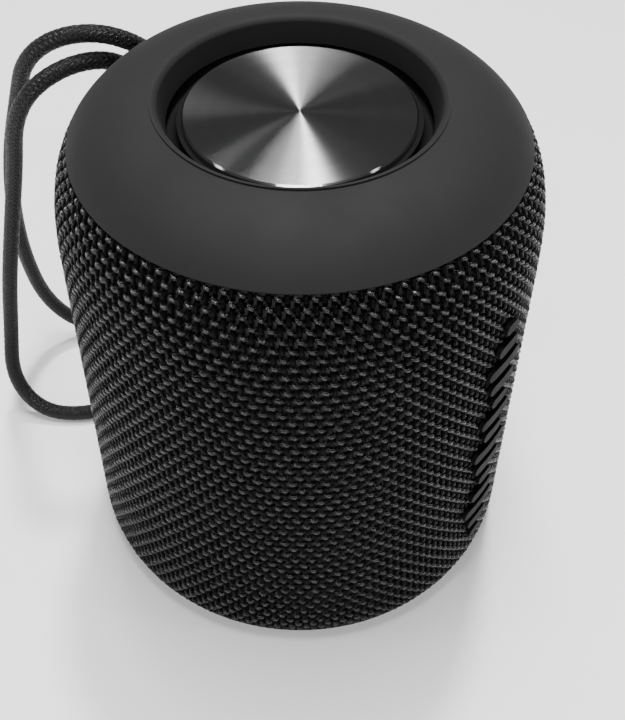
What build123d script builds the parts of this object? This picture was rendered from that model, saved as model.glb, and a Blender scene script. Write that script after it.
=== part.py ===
"""Shower speaker: a fabric-covered cylinder with a top and a bottom passive radiator, two
side-firing drivers, a rear control panel and a lanyard.

Millimetres. +Z is up, the base rests on Z = 0, the level-bar badge faces -Y and the control
panel faces +Y.
"""
import os
from math import cos, hypot, radians, sin, sqrt, tan

from build123d import *

os.makedirs("parts", exist_ok=True)

# Outer shape
BODY_R = 44.0              # straight side
RIM_Z = 104.3              # top of the cap's rim
SHOULDER_Z = 74.7          # where the side starts to curve in
SHOULDER_R = 16.4          # centre of the shoulder curve
SHOULDER_POWER = 3.07      # squareness of the shoulder curve
CORNER_Z = 9.5             # where the lower corner ends
CORNER_W = 4.5             # how far the lower corner curves in
PROUD = 0.8                # badge and control panel stand this far out of the fabric
FABRIC_LOW = 2.2
FABRIC_TOP = 96.35
FABRIC_T = 1.5
GRILLE_T = 1.8
GLUE_GAP = 0.15            # left between glued curved faces

# Top recess and its radiator
RIM_R = 23.9
WALL_LOW_R = 22.8
WALL_LOW_Z = 99.6
DISC_R = 20.1
DISC_T = 1.2
RADIATOR_Z = 99.6          # underside of the disc
ROLL_T = 0.8
SKIRT_Z = 89.2             # lower edge of the cap's skirt

# Chamber
SHELL_R = 39.6
SHELL_T = 2.0
SHELL_LOW = 12.0
SHELL_TOP = 86.0
FLAT_Y = 36.0              # flat on the back of the chamber
LID_T = 2.4
SEAL_T = 0.6
CAP_SCREWS = 22.3          # screw places, along X and along Y
BASE_SCREWS = 24.0

# Drivers
DRIVER_X = 31.5            # face of the driver seat
DRIVER_Z = 52.0
DRIVER_R = 23.0

# Control panel
PANEL_W = 22.0
PANEL_LOW = 12.0
PANEL_TOP = 73.0
PANEL_BACK = 41.2
BUTTON_Z = {"power": 66.0, "pairing": 57.5, "volume_up": 49.0, "play": 40.5, "volume_down": 32.0}
BUTTON_R = 3.8
LED_Z = 26.3
FLAP_LOW = 13.7
FLAP_TOP = 24.3
FLAP_W = 17.6
FLAP_BACK = 42.8
JACK_X = -4.8
JACK_R = 1.8
USB_X = 3.7
PORT_Z = 19.0

# Lanyard
CORD_D = 3.6
LUG_HOLE_R = 1.9
KNOT_Z = 76.5
LUG_TOP = 82.0
ROUTE = [
    (9, 46.2, 76.5), (9, 46.2, 84.5), (3.5, 46.6, 91.6), (-4.6, 50, 93.6), (-11.6, 54.6, 90),
    (-13.6, 59.2, 81.5), (-12.6, 63.2, 68.5), (-14, 66.7, 52.5), (-16.5, 69.2, 36), (-18, 71, 21),
    (-23, 68.5, 9), (-22.6, 60.3, 2), (-17, 51.2, 1.8), (-8, 46.2, 1.8), (2, 47.4, 1.8),
    (8.8, 55.2, 1.8), (8.2, 65.5, 1.8), (2.4, 73, 5.2), (-2.2, 77, 15), (-5.2, 77, 31),
    (-6.6, 75.2, 48), (-6.3, 71.8, 65), (-6, 66, 80.5), (-7.4, 60.4, 91.6), (-4.2, 54.2, 97.4),
    (1.6, 47.8, 98), (8, 43.6, 93.4), (14.8, 44.6, 85), (14.8, 44.6, 76.5),
]
HOLES = [ROUTE[0][:2], ROUTE[-1][:2]]
LUG_CENTRE = ((HOLES[0][0] + HOLES[1][0]) / 2, (HOLES[0][1] + HOLES[1][1]) / 2)
LUG_TURN = -14.7           # degrees about Z, so the lug's back lies along the side


def side_radius(z, inset=0.0):
    """Radius of the outer shape at height z, moved inwards by inset."""
    if z < CORNER_Z:
        drop = (CORNER_Z - z) / (CORNER_Z - inset)
        return BODY_R - CORNER_W + (CORNER_W - inset) * sqrt(max(0.0, 1 - drop ** 2))
    if z < SHOULDER_Z:
        return BODY_R - inset
    rise = (z - SHOULDER_Z) / (RIM_Z + 0.05 - SHOULDER_Z - inset)
    width = BODY_R - SHOULDER_R - inset
    return SHOULDER_R + width * max(0.0, 1 - rise ** SHOULDER_POWER) ** (1 / SHOULDER_POWER)


def side_points(low, high, inset, count):
    """Evenly spaced points (radius, z) on the outer shape, moved inwards by inset."""
    heights = [low + (high - low) * step / (count - 1) for step in range(count)]
    return [(side_radius(z, inset), z) for z in heights]


def draw_side(low, high, inset):
    """Draw the outer shape from low to high: lower corner, straight side, shoulder."""
    Spline(*side_points(low, CORNER_Z, inset, 7))
    Line((BODY_R - inset, CORNER_Z), (BODY_R - inset, SHOULDER_Z))
    Spline(*side_points(SHOULDER_Z, high, inset, 9))


def sleeve_outline(low, high, outer_inset, inner_inset):
    """Closed outline of a sleeve that follows the outer shape."""
    with BuildLine() as outline:
        draw_side(low, high, outer_inset)
        draw_side(low, high, inner_inset)
        Line((side_radius(low, outer_inset), low), (side_radius(low, inner_inset), low))
        Line((side_radius(high, outer_inset), high), (side_radius(high, inner_inset), high))
    return outline.edges()


def surround_outline(inner, roll_in, roll_out, outer, top, thickness, way):
    """Closed outline of a rubber surround: two flat lips and a half roll, way 1 up or -1 down."""
    centre = (roll_in + roll_out) / 2
    small = (roll_out - roll_in) / 2 - thickness / 2
    large = small + thickness
    near = top if way < 0 else top - thickness
    far = near + way * thickness
    with BuildLine() as outline:
        Polyline((centre - small, near), (inner, near), (inner, far), (centre - large, far))
        ThreePointArc((centre - large, far), (centre, far + way * large), (centre + large, far))
        Polyline((centre + large, far), (outer, far), (outer, near), (centre + small, near))
        Line((centre + small, near), (centre + small, far))
        ThreePointArc((centre + small, far), (centre, far + way * small), (centre - small, far))
        Line((centre - small, far), (centre - small, near))
    return outline.edges()


def arc_point(radius, low, rise):
    """Point halfway out on the arc from (radius, low) to its crown at (0, low + rise)."""
    ball = (radius ** 2 + rise ** 2) / (2 * rise)
    return (radius / 2, low + rise - ball + sqrt(ball ** 2 - radius ** 2 / 4))


def dome_outline(outer, inner, low, rise, thickness):
    """Closed outline of half a thin dome."""
    with BuildLine() as outline:
        ThreePointArc((outer, low), arc_point(outer, low, rise), (0, low + rise))
        Line((0, low + rise), (0, low + rise - thickness))
        ThreePointArc((0, low + rise - thickness), arc_point(inner, low, rise - thickness), (inner, low))
        Line((inner, low), (outer, low))
    return outline.edges()


# ---------------------------------------------------------------- outer shells

with BuildPart() as top_cap:
    with BuildSketch(Plane.XZ):
        with BuildLine():
            shoulder = side_points(FABRIC_TOP, 104.0, 0.0, 10)
            Spline(*shoulder)
            Spline(shoulder[-1], (25.1, RIM_Z), tangents=[(-0.97, 0.22), (-1, 0)])
            ThreePointArc((25.1, RIM_Z), (24.22, 103.95), (RIM_R, 103.1))
            Polyline((RIM_R, 103.1), (WALL_LOW_R, WALL_LOW_Z), (28.2, WALL_LOW_Z), (28.2, 101.2))
            Spline((28.2, 101.2), (33.2, 99.4), (35.6, 96.6))
            Polyline((35.6, 96.6), (35.6, SKIRT_Z), (37.3, SKIRT_Z), (37.3, FABRIC_TOP), shoulder[0])
        make_face()
    revolve(axis=Axis.Z)
top_cap.part.label = "top_cap"
export_step(top_cap.part, "parts/top_cap.step")

with BuildPart() as fabric_sleeve:
    with BuildSketch(Plane.XZ):
        make_face(sleeve_outline(FABRIC_LOW, FABRIC_TOP, 0.0, FABRIC_T))
    revolve(axis=Axis.Z)
    with BuildSketch(Plane.XZ.offset(-30)):
        with Locations((0, (PANEL_LOW + PANEL_TOP) / 2)):
            RectangleRounded(PANEL_W + 0.4, PANEL_TOP - PANEL_LOW + 0.4, 5.2)
    extrude(amount=-30, mode=Mode.SUBTRACT)
    with BuildSketch(Plane.XY.offset(KNOT_Z + 0.6)):
        with Locations(Location(LUG_CENTRE, LUG_TURN)):
            Rectangle(8.4, 16)
    extrude(amount=4.8, mode=Mode.SUBTRACT)
fabric_sleeve.part.label = "fabric_sleeve"
export_step(fabric_sleeve.part, "parts/fabric_sleeve.step")

GRILLE_INSET = FABRIC_T + GLUE_GAP
with BuildPart() as grille_frame:
    with BuildSketch(Plane.XZ):
        make_face(sleeve_outline(3.6, 92.4, GRILLE_INSET, GRILLE_INSET + GRILLE_T))
    revolve(axis=Axis.Z)
    for row in range(6):
        with PolarLocations(0, 15, start_angle=-72, angular_range=324):
            with Locations((BODY_R, 0, 16 + row * 11.6)):
                Box(12, 6.4, 9.2, mode=Mode.SUBTRACT)
    with BuildSketch(Plane.XZ.offset(-30)):
        with Locations((0, (PANEL_LOW + PANEL_TOP) / 2)):
            RectangleRounded(PANEL_W + 0.4, PANEL_TOP - PANEL_LOW + 0.4, 5.2)
    extrude(amount=-30, mode=Mode.SUBTRACT)
    with BuildSketch(Plane.XY.offset(KNOT_Z + 0.6)):
        with Locations(Location(LUG_CENTRE, LUG_TURN)):
            Rectangle(8.4, 16)
    extrude(amount=4.8, mode=Mode.SUBTRACT)
grille_frame.part.label = "grille_frame"
export_step(grille_frame.part, "parts/grille_frame.step")

with BuildPart() as base_ring:
    with BuildSketch(Plane.XZ):
        with BuildLine():
            Spline(*side_points(0.5, 2.1, 0.1, 5))
            Polyline((side_radius(2.1, 0.1), 2.1), (40.1, 2.1), (40.1, 3.4), (38.5, 3.4), (38.5, 0.3),
                     (39.6, 0.3), (side_radius(0.5, 0.1), 0.5))
        make_face()
    revolve(axis=Axis.Z)
base_ring.part.label = "base_ring"
export_step(base_ring.part, "parts/base_ring.step")

with BuildPart() as base_plate:
    with BuildSketch(Plane.XY.offset(1.2)):
        Circle(38.4)
        with PolarLocations(21, 12):
            SlotOverall(12, 3.4, mode=Mode.SUBTRACT)
    extrude(amount=2.2)
    with Locations(*[(x, y, 7.7) for x in (-BASE_SCREWS, BASE_SCREWS) for y in (-BASE_SCREWS, BASE_SCREWS)]):
        Cylinder(3.0, 8.6)
        Cylinder(1.3, 20, mode=Mode.SUBTRACT)
    with BuildSketch(Plane.XY.offset(1.2)):
        with Locations(*[(x, y) for x in (-BASE_SCREWS, BASE_SCREWS) for y in (-BASE_SCREWS, BASE_SCREWS)]):
            Circle(2.6)
    extrude(amount=1.5, mode=Mode.SUBTRACT)
base_plate.part.label = "base_plate"
export_step(base_plate.part, "parts/base_plate.step")

with BuildPart() as foot_ring:
    with BuildSketch():
        Circle(37.4)
        Circle(30.2, mode=Mode.SUBTRACT)
    extrude(amount=1.2)
    chamfer(foot_ring.edges().group_by(Axis.Z)[0], 0.3)
foot_ring.part.label = "foot_ring"
export_step(foot_ring.part, "parts/foot_ring.step")

# ---------------------------------------------------------------- level-bar badge

BAR_WIDTHS = [4, 7, 10.4, 7.6, 4.6, 8.6, 10.8, 6.4, 9.6, 5.2, 8, 10.4, 6.6, 4]
with BuildPart() as badge_bars:
    with BuildSketch(Plane.XZ.offset(42)):
        for step, width in enumerate(BAR_WIDTHS):
            with Locations((0, 15.6 + step * 4.6)):
                SlotOverall(width, 2.4)
    extrude(amount=4)
    with BuildSketch():
        Circle(BODY_R + PROUD)
        Circle(BODY_R + 0.02, mode=Mode.SUBTRACT)
    extrude(amount=90, mode=Mode.INTERSECT)
badge_bars.part.label = "badge_bars"
export_step(badge_bars.part, "parts/badge_bars.step")

# ---------------------------------------------------------------- radiators


def radiator_plate(name, low, radius, thickness):
    """Make a flat aluminium radiator plate with a bevelled top edge."""
    with BuildPart() as plate:
        with BuildSketch(Plane.XY.offset(low)):
            Circle(radius)
        extrude(amount=thickness)
        chamfer(plate.edges().group_by(Axis.Z)[-1], 0.5)
    plate.part.label = name
    export_step(plate.part, f"parts/{name}.step")


def surround_ring(name, plane, axis, sizes):
    """Make a rubber surround by turning its section about its axis."""
    with BuildPart() as ring:
        with BuildSketch(plane):
            make_face(surround_outline(*sizes))
        revolve(axis=axis)
    ring.part.label = name
    export_step(ring.part, f"parts/{name}.step")


radiator_plate("radiator_disc", RADIATOR_Z, DISC_R, DISC_T)
surround_ring("radiator_surround", Plane.XZ, Axis.Z, (15.2, 20.6, 24.4, 27.6, RADIATOR_Z, ROLL_T, -1))

with BuildPart() as radiator_weight:
    with BuildSketch(Plane.XY.offset(95.2)):
        Circle(14.6)
    extrude(amount=RADIATOR_Z - 95.2)
radiator_weight.part.label = "radiator_weight"
export_step(radiator_weight.part, "parts/radiator_weight.step")

LID_LOW = SHELL_TOP + SEAL_T
LID_TOP = LID_LOW + LID_T
with BuildPart() as radiator_frame:
    with BuildSketch(Plane.XZ):
        Polygon((25.1, LID_TOP), (28.6, LID_TOP), (28.6, LID_TOP + 2), (27.8, LID_TOP + 2),
                     (27.8, RADIATOR_Z - ROLL_T), (25.1, RADIATOR_Z - ROLL_T), align=None)
    revolve(axis=Axis.Z)
radiator_frame.part.label = "radiator_frame"
export_step(radiator_frame.part, "parts/radiator_frame.step")

LOWER_Z = 8.4              # top of the lower surround's lips
radiator_plate("lower_radiator_plate", LOWER_Z, 15.6, 1.6)
surround_ring("lower_radiator_surround", Plane.XZ, Axis.Z, (11.0, 16.4, 21.0, 25.0, LOWER_Z, 0.8, -1))

with BuildPart() as lower_radiator_frame:
    with BuildSketch(Plane.XZ):
        Polygon((21.6, LOWER_Z), (26.4, LOWER_Z), (26.4, SHELL_LOW), (21.6, SHELL_LOW), align=None)
    revolve(axis=Axis.Z)
lower_radiator_frame.part.label = "lower_radiator_frame"
export_step(lower_radiator_frame.part, "parts/lower_radiator_frame.step")

# ---------------------------------------------------------------- chamber

with BuildPart() as chamber_shell:
    with BuildSketch(Plane.XY.offset(SHELL_LOW)):
        Circle(SHELL_R)
        with Locations((0, FLAT_Y + 20)):
            Rectangle(80, 40, mode=Mode.SUBTRACT)
    extrude(amount=SHELL_TOP - SHELL_LOW)
    with BuildSketch(Plane.XY.offset(SHELL_LOW + SHELL_T)):
        Circle(SHELL_R - SHELL_T)
        with Locations((0, FLAT_Y - SHELL_T + 20)):
            Rectangle(80, 40, mode=Mode.SUBTRACT)
    extrude(amount=80, mode=Mode.SUBTRACT)
    with Locations((0, 0, SHELL_LOW)):
        Cylinder(21.6, 10, mode=Mode.SUBTRACT)
    for way in (-1, 1):
        with BuildSketch(Plane(origin=(way * (DRIVER_X - 2.5), 0, DRIVER_Z), z_dir=(way, 0, 0))):
            Circle(24.6)
        extrude(amount=2.5)
        with BuildSketch(Plane(origin=(way * DRIVER_X, 0, DRIVER_Z), z_dir=(way, 0, 0))):
            Circle(23.4)
        extrude(amount=12, mode=Mode.SUBTRACT)
        with BuildSketch(Plane(origin=(way * 27, 0, DRIVER_Z), z_dir=(way, 0, 0))):
            Circle(20.6)
        extrude(amount=12, mode=Mode.SUBTRACT)
    with BuildSketch(Plane.XY.offset(SHELL_TOP - 12)):
        with PolarLocations(35, 4, start_angle=45):
            Rectangle(7, 4.4)
        with GridLocations(2 * CAP_SCREWS, 2 * CAP_SCREWS, 2, 2):
            Circle(3.2)
            Circle(1.1, mode=Mode.SUBTRACT)
    extrude(amount=12)
    with Locations((JACK_X, FLAT_Y - 1, PORT_Z)):
        Box(7.2, 8, 7.2, mode=Mode.SUBTRACT)
    with Locations((USB_X, FLAT_Y - 1, PORT_Z)):
        Box(9.6, 8, 4.2, mode=Mode.SUBTRACT)
    corners = (-BASE_SCREWS, BASE_SCREWS)
    with Locations(*[(x, y, SHELL_LOW) for x in corners for y in corners]):
        Cylinder(1.1, 8, mode=Mode.SUBTRACT)
chamber_shell.part.label = "chamber_shell"
export_step(chamber_shell.part, "parts/chamber_shell.step")

with BuildPart() as lid_seal:
    with BuildSketch(Plane.XY.offset(SHELL_TOP)):
        Circle(39.3)
        with Locations((0, FLAT_Y - 0.3 + 20)):
            Rectangle(80, 40, mode=Mode.SUBTRACT)
        Circle(37.8, mode=Mode.SUBTRACT)
    extrude(amount=SEAL_T)
    with BuildSketch(Plane.XY.offset(SHELL_TOP)):
        with Locations((0, FLAT_Y - 1.05)):
            Rectangle(27, 1.5)
    extrude(amount=SEAL_T)
lid_seal.part.label = "lid_seal"
export_step(lid_seal.part, "parts/lid_seal.step")

with BuildPart() as chamber_lid:
    with BuildSketch(Plane.XY.offset(LID_LOW)):
        Circle(SHELL_R - 1.2)
        with Locations((0, FLAT_Y + 20)):
            Rectangle(80, 40, mode=Mode.SUBTRACT)
        Circle(25.1, mode=Mode.SUBTRACT)
        with GridLocations(2 * CAP_SCREWS, 2 * CAP_SCREWS, 2, 2):
            Circle(1.4, mode=Mode.SUBTRACT)
    extrude(amount=LID_T)
chamber_lid.part.label = "chamber_lid"
export_step(chamber_lid.part, "parts/chamber_lid.step")


def screw_group(name, places, plane, head_r, head_h, shank_r, shank_h):
    """Make pan-head screws whose heads stand on plane at places."""
    with BuildPart() as screws:
        with BuildSketch(plane):
            with Locations(*places):
                Circle(head_r)
        extrude(amount=head_h)
        with BuildSketch(plane):
            with Locations(*places):
                Circle(shank_r)
        extrude(amount=-shank_h)
        with BuildSketch(plane.offset(head_h)):
            with Locations(*places):
                RegularPolygon(head_r * 0.5, 6)
        extrude(amount=-head_h * 0.6, mode=Mode.SUBTRACT)
    screws.part.label = name
    export_step(screws.part, f"parts/{name}.step")


def square(half):
    """Four places at the corners of a square."""
    return [(x, y) for x in (-half, half) for y in (-half, half)]


screw_group("lid_screws", square(CAP_SCREWS), Plane.XY.offset(LID_TOP), 2.2, 1.4, 1.0, 9)
screw_group("base_screws", square(BASE_SCREWS), Plane.XY.offset(2.7).rotated((180, 0, 0)), 2.4, 1.3, 1.0, 11)

# ---------------------------------------------------------------- drivers

for side, way in (("left", -1), ("right", 1)):
    section = Plane(origin=(way * DRIVER_X, 0, DRIVER_Z), x_dir=(0, 1, 0), z_dir=(0, 0, -way))
    spin = Axis(origin=(way * DRIVER_X, 0, DRIVER_Z), direction=(way, 0, 0))

    with BuildPart() as gasket:
        with BuildSketch(section):
            Polygon((20.9, 0), (DRIVER_R, 0), (DRIVER_R, 0.5), (20.9, 0.5), align=None)
        revolve(axis=spin)
    gasket.part.label = f"{side}_driver_gasket"
    export_step(gasket.part, f"parts/{side}_driver_gasket.step")

    with BuildPart() as basket:
        with BuildSketch(section):
            Polygon((19.2, 1.5), (DRIVER_R, 1.5), (DRIVER_R, 0.5), (20.2, 0.5), (15.2, -13.2),
                         (9.2, -13.2), (9.2, -12.2), (14.4, -12.2), align=None)
        revolve(axis=spin)
        window = Plane(origin=(way * DRIVER_X, 0, DRIVER_Z), x_dir=(0, 1, 0), z_dir=(way, 0, 0))
        with BuildSketch(window.offset(-11.4)):
            with PolarLocations(16.4, 6):
                RectangleRounded(6, 9, 1.5)
        extrude(amount=6, mode=Mode.SUBTRACT)
    basket.part.label = f"{side}_driver_basket"
    export_step(basket.part, f"parts/{side}_driver_basket.step")

    surround_ring(f"{side}_driver_surround", section, spin, (14.0, 16.0, 19.4, 22.6, 1.9, 0.4, 1))

    with BuildPart() as cone:
        with BuildSketch(section):
            Polygon((16.0, 1.5), (14.0, 1.5), (8.1, -4.4), (8.1, -5.2), (8.7, -5.2), (14.3, 0.9),
                    (16.0, 0.9), align=None)
        revolve(axis=spin)
    cone.part.label = f"{side}_driver_cone"
    export_step(cone.part, f"parts/{side}_driver_cone.step")

    with BuildPart() as dust_cap:
        with BuildSketch(section):
            make_face(dome_outline(8.0, 7.5, -4.9, 2.5, 0.4))
        revolve(axis=spin)
    dust_cap.part.label = f"{side}_driver_dust_cap"
    export_step(dust_cap.part, f"parts/{side}_driver_dust_cap.step")

    with BuildPart() as voice_coil:
        with BuildSketch(section):
            Polygon((7.6, -15.5), (8.35, -15.5), (8.35, -12.8), (8.0, -12.8), (8.0, -4.9),
                    (7.6, -4.9), align=None)
        revolve(axis=spin)
    voice_coil.part.label = f"{side}_driver_voice_coil"
    export_step(voice_coil.part, f"parts/{side}_driver_voice_coil.step")

    with BuildPart() as spider:
        with BuildSketch(section):
            with BuildLine():
                ripple = [(8.15 + step * 1.1, -7.6 + 0.5 * (step % 2)) for step in range(8)]
                Polyline(*ripple)
                Polyline(*[(x, z + 0.35) for x, z in ripple])
                Line(ripple[0], (ripple[0][0], ripple[0][1] + 0.35))
                Line(ripple[-1], (ripple[-1][0], ripple[-1][1] + 0.35))
            make_face()
        revolve(axis=spin)
    spider.part.label = f"{side}_driver_spider"
    export_step(spider.part, f"parts/{side}_driver_spider.step")

    with BuildPart() as magnet:
        with BuildSketch(section):
            Polygon((9.8, -19.2), (14.2, -19.2), (14.2, -15.2), (9.8, -15.2), align=None)
        revolve(axis=spin)
    magnet.part.label = f"{side}_driver_magnet"
    export_step(magnet.part, f"parts/{side}_driver_magnet.step")

    with BuildPart() as top_plate:
        with BuildSketch(section):
            Polygon((8.8, -15.2), (14.6, -15.2), (14.6, -13.2), (8.8, -13.2), align=None)
        revolve(axis=spin)
    top_plate.part.label = f"{side}_driver_top_plate"
    export_step(top_plate.part, f"parts/{side}_driver_top_plate.step")

    with BuildPart() as yoke:
        with BuildSketch(section):
            Polygon((0, -21.2), (14.4, -21.2), (14.4, -19.2), (7.1, -19.2), (7.1, -13.2),
                    (0, -13.2), align=None)
        revolve(axis=spin)
    yoke.part.label = f"{side}_driver_yoke"
    export_step(yoke.part, f"parts/{side}_driver_yoke.step")

# ---------------------------------------------------------------- electronics

with BuildPart() as battery_cell:
    with Locations((0, -26, 52)):
        Cylinder(9.2, 65)
    chamfer(battery_cell.edges(), 0.6)
    with Locations((0, -26, 84.9)):
        Cylinder(3.0, 0.8)
battery_cell.part.label = "battery_cell"
export_step(battery_cell.part, "parts/battery_cell.step")

with BuildPart() as battery_clips:
    with BuildSketch(Plane.XY.offset(20)):
        with Locations((0, -26)):
            Circle(10.8)
            Circle(9.35, mode=Mode.SUBTRACT)
        with Locations((0, -6)):
            Rectangle(30, 30, mode=Mode.SUBTRACT)
    extrude(amount=64)
    for height in (36, 56):
        with Locations((0, -36, height)):
            Box(30, 30, 12, mode=Mode.SUBTRACT)
battery_clips.part.label = "battery_clips"
export_step(battery_clips.part, "parts/battery_clips.step")

with BuildPart() as main_board:
    with BuildSketch(Plane.XZ.offset(-30)):
        with Locations((0, 53)):
            RectangleRounded(38, 56, 1.5)
        with Locations(*[(x, z) for x in (-16.5, 16.5) for z in (28, 78)]):
            Circle(1.1, mode=Mode.SUBTRACT)
    extrude(amount=-1.6)
main_board.part.label = "main_board"
export_step(main_board.part, "parts/main_board.step")

with BuildPart() as board_parts:
    for x, z, width, height, depth in ((-6, 66, 9, 9, 1.2), (8, 68, 6, 6, 1.0), (-9, 40, 6, 5, 3.0),
                                       (9, 44, 5, 6, 2.4), (0, 54, 5, 5, 1.0), (12, 32, 4, 4, 3.0)):
        with Locations((x, 30 - depth / 2, z)):
            Box(width, depth, height)
board_parts.part.label = "board_parts"
export_step(board_parts.part, "parts/board_parts.step")

with BuildPart() as button_board:
    with BuildSketch(Plane.XZ.offset(-FLAT_Y - 0.2)):
        with Locations((0, 47.5)):
            RectangleRounded(16.6, 44.5, 1.5)
    extrude(amount=-1.2)
button_board.part.label = "button_board"
export_step(button_board.part, "parts/button_board.step")

SWITCH_BACK = FLAT_Y + 1.4
with BuildPart() as tact_switches:
    for height in BUTTON_Z.values():
        with Locations((0, SWITCH_BACK + 0.8, height)):
            Box(4.5, 1.6, 4.5)
        with BuildSketch(Plane.XZ.offset(-SWITCH_BACK - 1.6)):
            with Locations((0, height)):
                Circle(1.1)
        extrude(amount=-0.6)
tact_switches.part.label = "tact_switches"
export_step(tact_switches.part, "parts/tact_switches.step")

with BuildPart() as aux_socket:
    with Locations((JACK_X, 36.4, PORT_Z)):
        Box(6.8, 12.2, 6.8)
    with BuildSketch(Plane.XZ.offset(-42.5)):
        with Locations((JACK_X, PORT_Z)):
            Circle(JACK_R)
    extrude(amount=11.4, mode=Mode.SUBTRACT)
aux_socket.part.label = "aux_socket"
export_step(aux_socket.part, "parts/aux_socket.step")

with BuildPart() as usb_socket:
    with BuildSketch(Plane.XZ.offset(-35)):
        with Locations((USB_X, PORT_Z)):
            RectangleRounded(9.2, 3.6, 1.7)
    extrude(amount=-7.5)
    with BuildSketch(Plane.XZ.offset(-42.5)):
        with Locations((USB_X, PORT_Z)):
            RectangleRounded(8.4, 2.8, 1.3)
            Rectangle(6.6, 0.7, mode=Mode.SUBTRACT)
    extrude(amount=6.2, mode=Mode.SUBTRACT)
usb_socket.part.label = "usb_socket"
export_step(usb_socket.part, "parts/usb_socket.step")

# ---------------------------------------------------------------- control panel

with BuildPart() as control_panel:
    with BuildSketch(Plane.XZ.offset(-FLAT_Y - 0.1)):
        with Locations((0, (PANEL_LOW + PANEL_TOP) / 2)):
            RectangleRounded(PANEL_W, PANEL_TOP - PANEL_LOW, 5)
    extrude(amount=-12)
    with BuildSketch():
        Circle(BODY_R + PROUD)
    extrude(amount=90, mode=Mode.INTERSECT)
    with BuildSketch(Plane.XZ.offset(-FLAT_Y - 0.1)):
        with Locations((0, (PANEL_LOW + PANEL_TOP) / 2)):
            RectangleRounded(PANEL_W - 4.6, PANEL_TOP - PANEL_LOW - 4.6, 2.4)
    extrude(amount=-(PANEL_BACK - FLAT_Y - 0.1), mode=Mode.SUBTRACT)
    with BuildSketch(Plane.XZ.offset(-PANEL_BACK + 1)):
        with Locations(*[(0, height) for height in BUTTON_Z.values()]):
            Circle(BUTTON_R + 0.2)
        with Locations((0, LED_Z)):
            Circle(0.8)
    extrude(amount=-10, mode=Mode.SUBTRACT)
    with BuildSketch(Plane.XZ.offset(-FLAP_BACK + 0.2)):
        with Locations((0, (FLAP_LOW + FLAP_TOP) / 2)):
            RectangleRounded(FLAP_W + 0.4, FLAP_TOP - FLAP_LOW + 0.4, 1.2)
    extrude(amount=-10, mode=Mode.SUBTRACT)
    with BuildSketch(Plane.XZ.offset(-PANEL_BACK + 1)):
        with Locations((JACK_X, PORT_Z)):
            Rectangle(7.0, 7.0)
        with Locations((USB_X, PORT_Z)):
            RectangleRounded(9.5, 3.9, 1.8)
    extrude(amount=-4, mode=Mode.SUBTRACT)
control_panel.part.label = "control_panel"
export_step(control_panel.part, "parts/control_panel.step")

with BuildPart() as status_led:
    with BuildSketch(Plane.XZ.offset(-PANEL_BACK)):
        with Locations((0, LED_Z)):
            Circle(0.75)
    extrude(amount=-3.4)
status_led.part.label = "status_led"
export_step(status_led.part, "parts/status_led.step")


def draw_icon(name):
    """Draw a plain sign for a button, centred on the current place."""
    if name == "power":
        Circle(1.75)
        Circle(1.25, mode=Mode.SUBTRACT)
        with Locations((0, 1.4)):
            Rectangle(1.5, 1.6, mode=Mode.SUBTRACT)
            Rectangle(0.5, 1.9)
    elif name == "pairing":
        with Locations((-0.95, 0), (0.95, 0)):
            Circle(1.35)
            Circle(0.85, mode=Mode.SUBTRACT)
    elif name == "play":
        Polygon((-1.1, -1.5), (-1.1, 1.5), (1.6, 0), align=None)
    else:
        Rectangle(3.4, 0.7)
        if name == "volume_up":
            Rectangle(0.7, 3.4)


for name, height in BUTTON_Z.items():
    seat = Plane(origin=(0, 0, height), x_dir=(-1, 0, 0), z_dir=(0, 1, 0))
    with BuildPart() as button:
        with BuildSketch(seat.offset(40.2)):
            Circle(1.6)
        extrude(amount=1.6)
        with BuildSketch(seat.offset(41.4)):
            Circle(BUTTON_R)
        extrude(amount=BODY_R + PROUD - 41.4)
        fillet(button.edges().group_by(Axis.Y)[-1], 0.5)
        with BuildSketch(seat.offset(BODY_R + PROUD - 0.35)):
            draw_icon(name)
        extrude(amount=2, mode=Mode.SUBTRACT)
    button.part.label = f"{name}_button"
    export_step(button.part, f"parts/{name}_button.step")

with BuildPart() as port_flap:
    with BuildSketch(Plane.XZ.offset(-FLAP_BACK)):
        with Locations((0, (FLAP_LOW + FLAP_TOP) / 2)):
            RectangleRounded(FLAP_W, FLAP_TOP - FLAP_LOW, 1)
    extrude(amount=-6)
    with BuildSketch():
        Circle(BODY_R + PROUD)
    extrude(amount=90, mode=Mode.INTERSECT)
    with Locations((0, 45.6, FLAP_TOP - 1.0)):
        Cylinder(2.2, 6, rotation=(0, 90, 0), mode=Mode.SUBTRACT)
port_flap.part.label = "port_flap"
export_step(port_flap.part, "parts/port_flap.step")

# ---------------------------------------------------------------- lanyard

with BuildPart() as lanyard_lug:
    with BuildSketch(Plane.XY.offset(KNOT_Z - 2.6)):
        with Locations(Location((LUG_CENTRE[0] + 0.2, LUG_CENTRE[1] + 0.8), LUG_TURN)):
            RectangleRounded(13.6, 7.4, 3)
    extrude(amount=LUG_TOP - KNOT_Z + 2.6)
    fillet(lanyard_lug.edges().filter_by(Plane.XY), 0.8)
    with BuildSketch(Plane.XY.offset(KNOT_Z + 0.8)):
        with Locations(Location((LUG_CENTRE[0] - 0.85, LUG_CENTRE[1] - 3.2), LUG_TURN)):
            Rectangle(8, 7)
    extrude(amount=4.4)
    with BuildSketch():
        Circle(SHELL_R + 0.2)
    extrude(amount=90, mode=Mode.SUBTRACT)
    with Locations(*[(x, y, 78) for x, y in HOLES]):
        Cylinder(LUG_HOLE_R, 20, mode=Mode.SUBTRACT)
    with Locations(*[(x, y, KNOT_Z - 5) for x, y in HOLES]):
        Cylinder(2.7, 10, mode=Mode.SUBTRACT)
lanyard_lug.part.label = "lanyard_lug"
export_step(lanyard_lug.part, "parts/lanyard_lug.step")

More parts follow.
